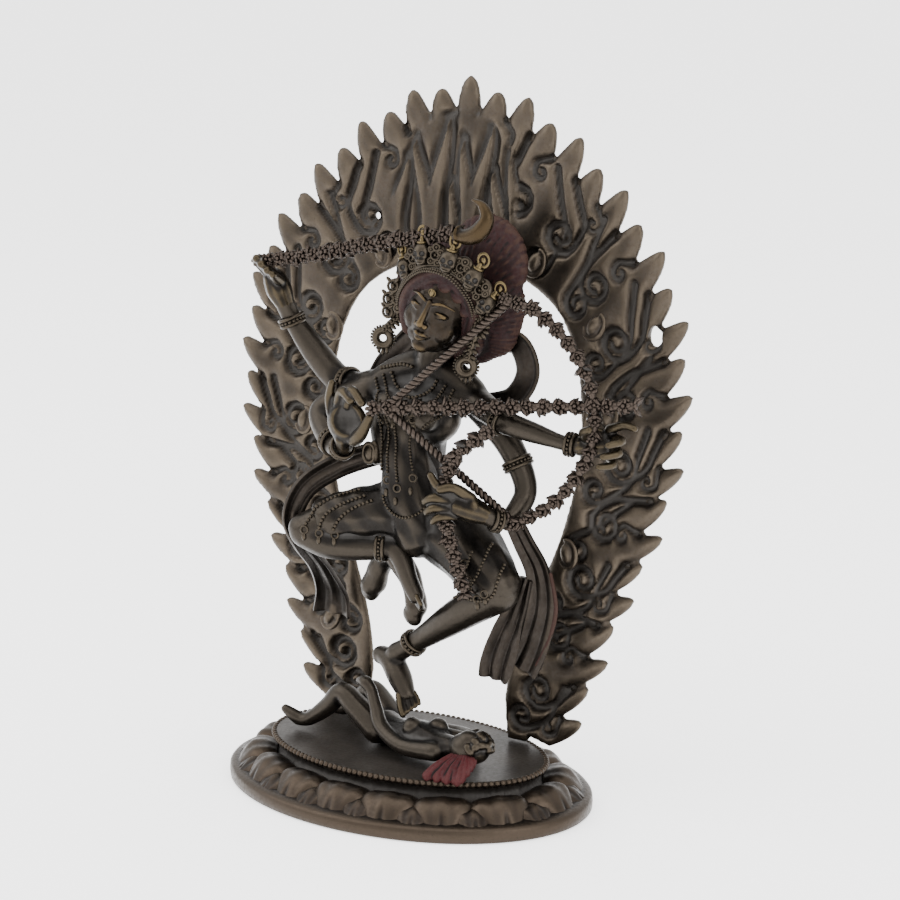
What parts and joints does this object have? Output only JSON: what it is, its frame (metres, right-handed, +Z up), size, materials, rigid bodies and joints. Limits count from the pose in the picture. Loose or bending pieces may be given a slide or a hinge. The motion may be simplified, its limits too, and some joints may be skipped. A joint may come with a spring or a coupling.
{
  "type": "statue",
  "caption": "Small cast-metal figure of a dancing four-armed archer on an oval lotus base before a flame aureole.",
  "frame": {"origin": "centre of the base's underside", "axes": "+Z up, the figure looks along -Y, +X on its left hand"},
  "size_m": [0.123, 0.064, 0.159],
  "materials": {
    "base_bronze": "satin dark patina",
    "flame_bronze": "satin brown patina",
    "figure_bronze": "satin dark patina",
    "flower_bronze": "satin reddish patina"
  },
  "bodies": {
    "root": {"lotus_base": "base_bronze", "flame_aureole": "flame_bronze", "fallen_figure": "figure_bronze", "kurukulla_figure": "figure_bronze", "bow_and_arrow": "flower_bronze", "flower_noose": "flower_bronze", "flower_goad": "flower_bronze"}
  },
  "joints": []
}
